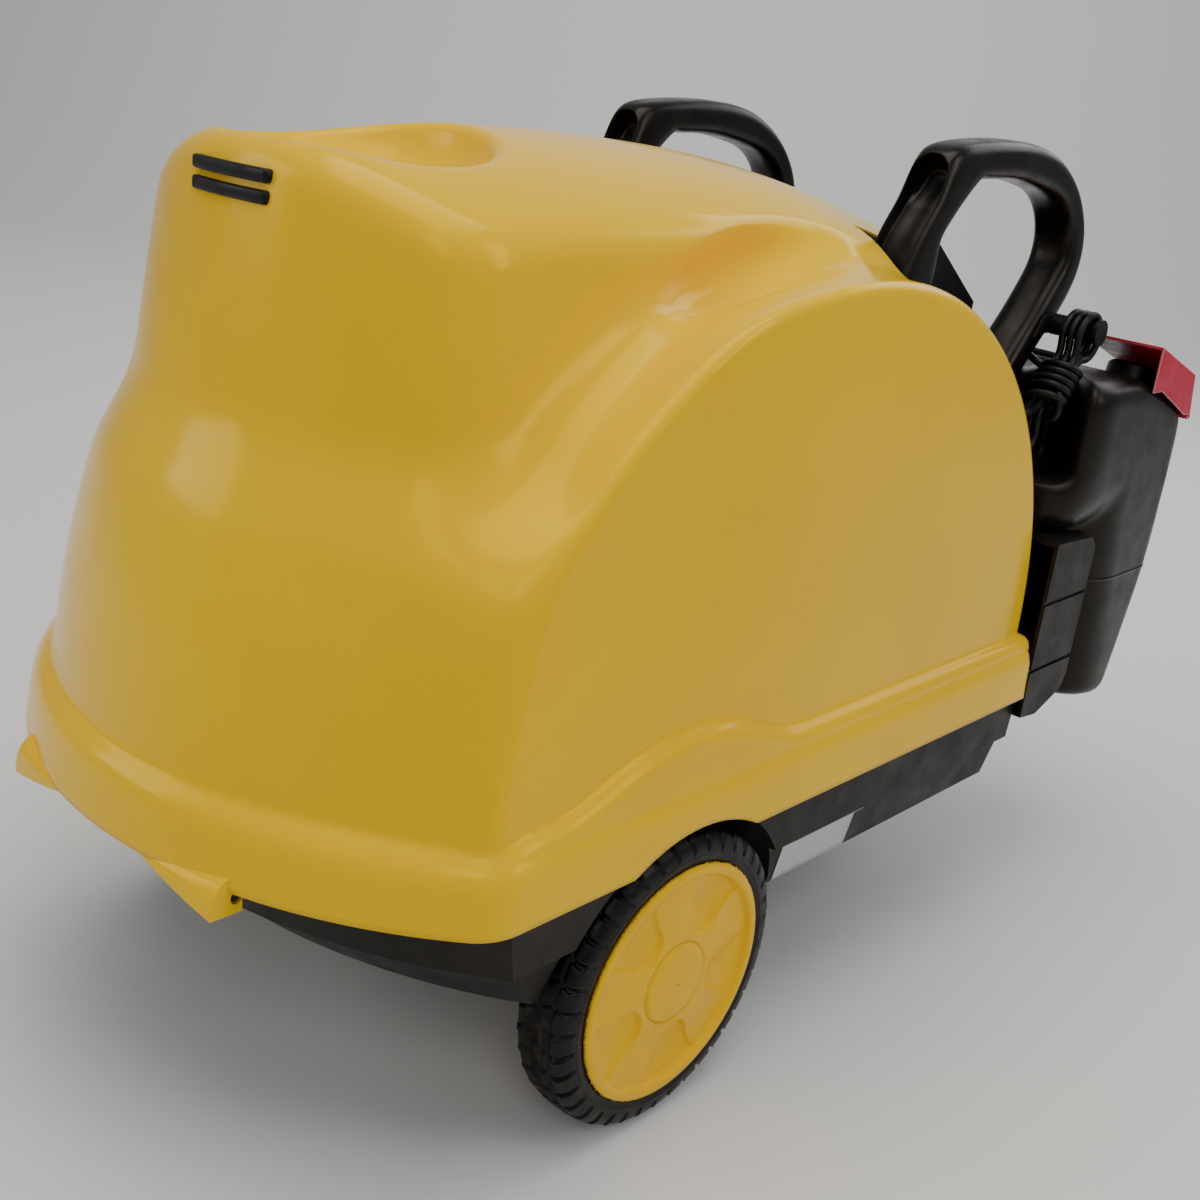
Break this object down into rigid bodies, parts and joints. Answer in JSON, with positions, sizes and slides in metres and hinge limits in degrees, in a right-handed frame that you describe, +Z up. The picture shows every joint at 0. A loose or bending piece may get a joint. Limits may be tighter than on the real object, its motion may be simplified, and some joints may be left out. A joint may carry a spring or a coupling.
{
  "type": "pressure washer",
  "caption": "Mobile hot-water pressure washer: yellow tilting hood on a black wheeled tray, looped handles, saddle tanks at the rear and a hung power cord.",
  "frame": {"origin": "on the floor, below the centre of the overall box", "axes": "+X to the right hand of someone facing the tail, +Y from the bow to the tanks, +Z up"},
  "size_m": [0.676, 1.286, 0.9023],
  "materials": {
    "hood_plastic": "moulded yellow thermoplastic, gloss",
    "bar_rubber": "moulded rubber, matt",
    "tray_plastic": "rotation moulded polyethylene, fine grain",
    "tank_plastic": "rotation moulded polyethylene, satin",
    "handle_plastic": "blow moulded plastic, fine grain",
    "console_plastic": "injection moulded plastic, satin",
    "rim_plastic": "injection moulded wheel centre, yellow",
    "castor_plastic": "injection moulded nylon",
    "tyre_rubber": "solid rubber tread",
    "cap_plastic": "injection moulded plastic",
    "castor_tread": "solid grey rubber",
    "zinc_steel": "zinc plated steel",
    "sheet_steel": "galvanised sheet",
    "painted_steel": "powder coat, black",
    "motor_aluminium": "die casting, as cast",
    "machined_brass": "machined brass",
    "flap_plastic": "injection moulded red plastic",
    "red_cap": "injection moulded red plastic",
    "panel_plastic": "light grey printed sheet",
    "knob_plastic": "injection moulded plastic",
    "gauge_face": "white enamelled cup",
    "needle_paint": "red lacquer",
    "gauge_glass": "clear cast plastic",
    "lamp_plastic": "amber lens",
    "float_plastic": "natural polypropylene",
    "cord_rubber": "rubber mains cord sheath, matt",
    "hose_rubber": "reinforced hose"
  },
  "bodies": {
    "chassis": {"chassis_pan": "tray_plastic", "hinge_brackets": "zinc_steel", "front_axle": "zinc_steel", "axle_blocks": "tray_plastic", "castor_plate": "zinc_steel", "right_frame_plate": "painted_steel", "left_frame_plate": "painted_steel", "right_handle": "handle_plastic", "left_handle": "handle_plastic", "handle_bolts": "zinc_steel", "boiler_jacket": "sheet_steel", "boiler_lid": "sheet_steel", "motor_housing": "motor_aluminium", "fan_housing": "motor_aluminium", "fuel_pump": "motor_aluminium", "pump_crankcase": "motor_aluminium", "pump_head": "machined_brass", "motor_cradle": "painted_steel", "air_duct": "sheet_steel", "float_tank": "float_plastic", "suction_hose": "hose_rubber", "pressure_pipe": "zinc_steel", "rear_wall": "tray_plastic", "pressure_outlet": "machined_brass", "water_inlet": "machined_brass", "fuel_tank": "tank_plastic", "detergent_tank": "tank_plastic", "console_housing": "console_plastic", "control_panel": "panel_plastic", "gauge_body": "gauge_face", "gauge_lens": "gauge_glass", "status_lamps": "lamp_plastic", "electric_box": "console_plastic", "cord_gland": "console_plastic", "cord_lead": "cord_rubber", "cord_hank": "cord_rubber", "cord_tail": "cord_rubber", "cord_plug": "cord_rubber", "cord_hook": "painted_steel"},
    "hood": {"hood_shell": "hood_plastic", "rest_bars": "bar_rubber"},
    "right_wheel": {"right_rim": "rim_plastic", "right_tyre": "tyre_rubber", "right_hub_cap": "rim_plastic"},
    "left_wheel": {"left_rim": "rim_plastic", "left_tyre": "tyre_rubber", "left_hub_cap": "rim_plastic"},
    "castor_yoke": {"castor_fork": "zinc_steel"},
    "castor_roller": {"castor_rim": "castor_plastic", "castor_tyre": "castor_tread"},
    "castor_pedal": {"castor_brake": "zinc_steel"},
    "main_switch_knob": {"main_switch": "knob_plastic"},
    "thermostat_knob": {"thermostat": "knob_plastic"},
    "detergent_knob": {"detergent_dial": "knob_plastic"},
    "pressure_needle": {"gauge_needle": "needle_paint"},
    "fuel_screw_cap": {"fuel_cap": "red_cap"},
    "detergent_screw_cap": {"detergent_cap": "cap_plastic"},
    "filler_flap": {"tank_flap": "flap_plastic"},
    "rotor": {"motor_shaft": "zinc_steel", "fan_wheel": "motor_aluminium"}
  },
  "joints": [
    {"name": "hood_hinge", "type": "hinge", "parent": "chassis", "child": "hood", "pos_m": [0, -0.607, 0.284], "axis": [1, 0, 0], "range_deg": [0, 125]},
    {"name": "right_wheel_spin", "type": "hinge", "parent": "chassis", "child": "right_wheel", "pos_m": [0.3, -0.25, 0.15], "axis": [1, 0, 0], "continuous": true},
    {"name": "left_wheel_spin", "type": "hinge", "parent": "chassis", "child": "left_wheel", "pos_m": [-0.3, -0.25, 0.15], "axis": [1, 0, 0], "continuous": true},
    {"name": "castor_swivel", "type": "hinge", "parent": "chassis", "child": "castor_yoke", "pos_m": [0, 0.262, 0.15], "axis": [0, 0, 1], "continuous": true},
    {"name": "castor_roll", "type": "hinge", "parent": "castor_yoke", "child": "castor_roller", "pos_m": [0, 0.296, 0.062], "axis": [1, 0, 0], "continuous": true},
    {"name": "castor_brake_pedal", "type": "hinge", "parent": "castor_yoke", "child": "castor_pedal", "pos_m": [0, 0.318, 0.13], "axis": [1, 0, 0], "range_deg": [-6, 0]},
    {"name": "main_switch_turn", "type": "hinge", "parent": "chassis", "child": "main_switch_knob", "pos_m": [-0.118, 0.30191, 0.7579], "axis": [0, 0.5548, 0.832], "range_deg": [-90, 90]},
    {"name": "thermostat_turn", "type": "hinge", "parent": "chassis", "child": "thermostat_knob", "pos_m": [-0.048, 0.30191, 0.7579], "axis": [0, 0.5548, 0.832], "range_deg": [-150, 150]},
    {"name": "detergent_turn", "type": "hinge", "parent": "chassis", "child": "detergent_knob", "pos_m": [0.122, 0.30191, 0.7579], "axis": [0, 0.5548, 0.832], "range_deg": [-150, 150]},
    {"name": "pressure_needle_turn", "type": "hinge", "parent": "chassis", "child": "pressure_needle", "pos_m": [0.04, 0.30191, 0.7579], "axis": [0, 0.5548, 0.832], "range_deg": [-270, 0], "stiffness_Nm_per_rad": 0.0002},
    {"name": "fuel_cap_turn", "type": "hinge", "parent": "chassis", "child": "fuel_screw_cap", "pos_m": [0.285, 0.5615, 0.6375], "axis": [0, 0.2957, 0.9553], "continuous": true},
    {"name": "detergent_cap_turn", "type": "hinge", "parent": "chassis", "child": "detergent_screw_cap", "pos_m": [-0.285, 0.5615, 0.6375], "axis": [0, 0.2957, 0.9553], "continuous": true},
    {"name": "filler_flap_turn", "type": "hinge", "parent": "chassis", "child": "filler_flap", "pos_m": [0.285, 0.639, 0.601], "axis": [1, 0, 0], "range_deg": [-110, 0]},
    {"name": "rotor_spin", "type": "hinge", "parent": "chassis", "child": "rotor", "pos_m": [0, 0.03, 0.305], "axis": [1, 0, 0], "continuous": true}
  ]
}
